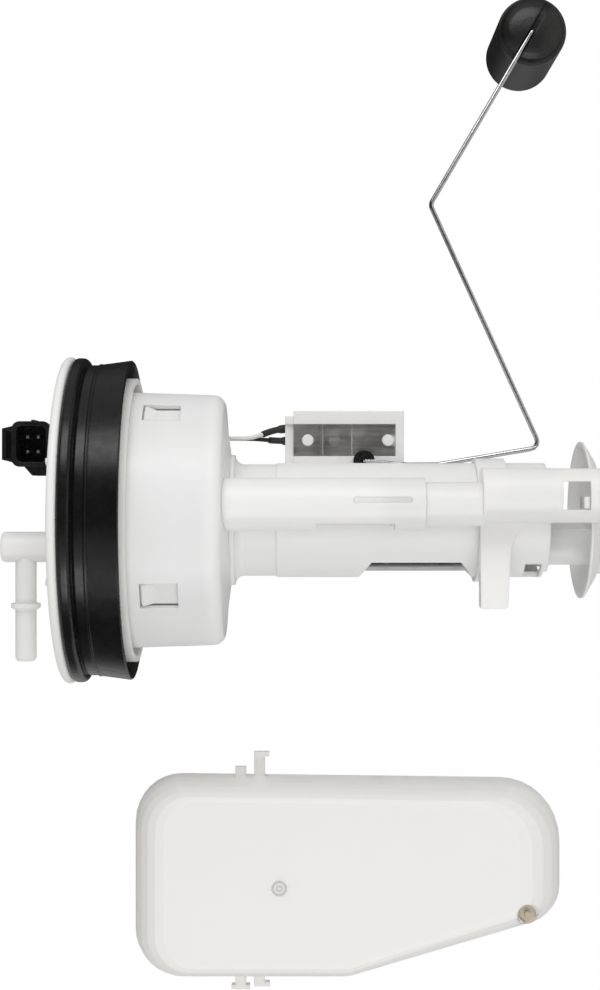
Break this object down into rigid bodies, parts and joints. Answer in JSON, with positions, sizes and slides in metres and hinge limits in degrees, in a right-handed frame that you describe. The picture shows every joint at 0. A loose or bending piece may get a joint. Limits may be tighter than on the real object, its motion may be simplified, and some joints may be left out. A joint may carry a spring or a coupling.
{
  "type": "fuel pump module with level sender",
  "caption": "In-tank fuel pump module hung from a tank flange, with a float-arm level sender on its side and its clip-on reservoir cup beside it.",
  "frame": {"origin": "on the module's axis at the underside of the flange rim, where it seats on the tank", "axes": "+Z out of the tank along the module's axis, +X toward the level sender's float, -Y toward the connector's mouth"},
  "size_m": [0.3746, 0.122, 0.2252],
  "materials": {
    "white_plastic": "satin moulded",
    "cup_plastic": "translucent satin",
    "rubber": "satin",
    "black_plastic": "semi gloss",
    "steel": "bright",
    "nickel": "brushed",
    "copper": "satin",
    "ferrite": "matte",
    "filter_paper": "matte",
    "amber_plastic": "satin",
    "mesh": "woven",
    "card": "matte",
    "float_foam": "matte",
    "white_lead": "satin",
    "black_lead": "satin"
  },
  "bodies": {
    "module": {"flange": "white_plastic", "outlet_elbow": "white_plastic", "filter_canister": "white_plastic", "filter_core": "white_plastic", "filter_top_cap": "white_plastic", "filter_bottom_cap": "white_plastic", "pump_holder": "white_plastic", "end_bracket": "white_plastic", "end_plate": "white_plastic", "sender_housing": "white_plastic", "sender_cover": "white_plastic", "flange_seal": "rubber", "outlet_oring": "rubber", "pump_oring": "rubber", "tube_oring": "rubber", "connector_housing": "black_plastic", "outlet_cap": "black_plastic", "inlet_cap": "black_plastic", "pump_case": "steel", "pump_head": "steel", "check_spring": "steel", "brush_spring_a": "steel", "brush_spring_b": "steel", "regulator_body": "steel", "regulator_spring": "steel", "contact_plate_a": "nickel", "contact_plate_b": "nickel", "contact_plate_c": "nickel", "sender_rivet": "nickel", "connector_pins": "nickel", "magnet_a": "ferrite", "magnet_b": "ferrite", "brush_a": "ferrite", "brush_b": "ferrite", "filter_media": "filter_paper", "strainer_frame": "amber_plastic", "strainer_mesh": "mesh", "resistor_card": "card", "lead_white": "white_lead", "lead_black": "black_lead", "sleeve_upper": "black_lead", "sleeve_lower": "black_lead"},
    "float_arm": {"float_wire": "steel", "float": "float_foam", "wiper_carrier": "black_plastic", "wiper_contact": "nickel"},
    "pump_rotor": {"motor_shaft": "steel", "armature": "copper", "commutator": "copper", "impeller": "amber_plastic"},
    "outlet_check": {"check_ball": "steel"},
    "regulator_valve": {"regulator_ball": "steel"},
    "cup": {"reservoir_cup": "cup_plastic", "valve_clip": "white_plastic"},
    "cup_valve": {"inlet_valve": "amber_plastic"}
  },
  "joints": [
    {"name": "float_lift", "type": "hinge", "parent": "module", "child": "float_arm", "pos_m": [0.0224, 0.0106, -0.1082], "axis": [0, -1, 0], "range_deg": [0, 50]},
    {"name": "pump_spin", "type": "hinge", "parent": "module", "child": "pump_rotor", "pos_m": [0, 0, -0.12], "axis": [0, 0, 1], "continuous": true},
    {"name": "outlet_check_lift", "type": "slide", "parent": "module", "child": "outlet_check", "axis": [0, 0, 1], "range_m": [0, 0.0015], "stiffness_N_per_m": 40, "springref_m": -0.001, "deforming": ["check_spring"]},
    {"name": "regulator_open", "type": "slide", "parent": "module", "child": "regulator_valve", "axis": [0, 0, -1], "range_m": [0, 0.001], "stiffness_N_per_m": 200, "springref_m": -0.002, "deforming": ["regulator_spring"]},
    {"name": "cup_pull", "type": "slide", "parent": "module", "child": "cup", "axis": [-1, 0, 0], "range_m": [0, 0.03]},
    {"name": "cup_valve_open", "type": "slide", "parent": "cup", "child": "cup_valve", "axis": [0, 1, 0], "range_m": [0, 0.0012]}
  ]
}
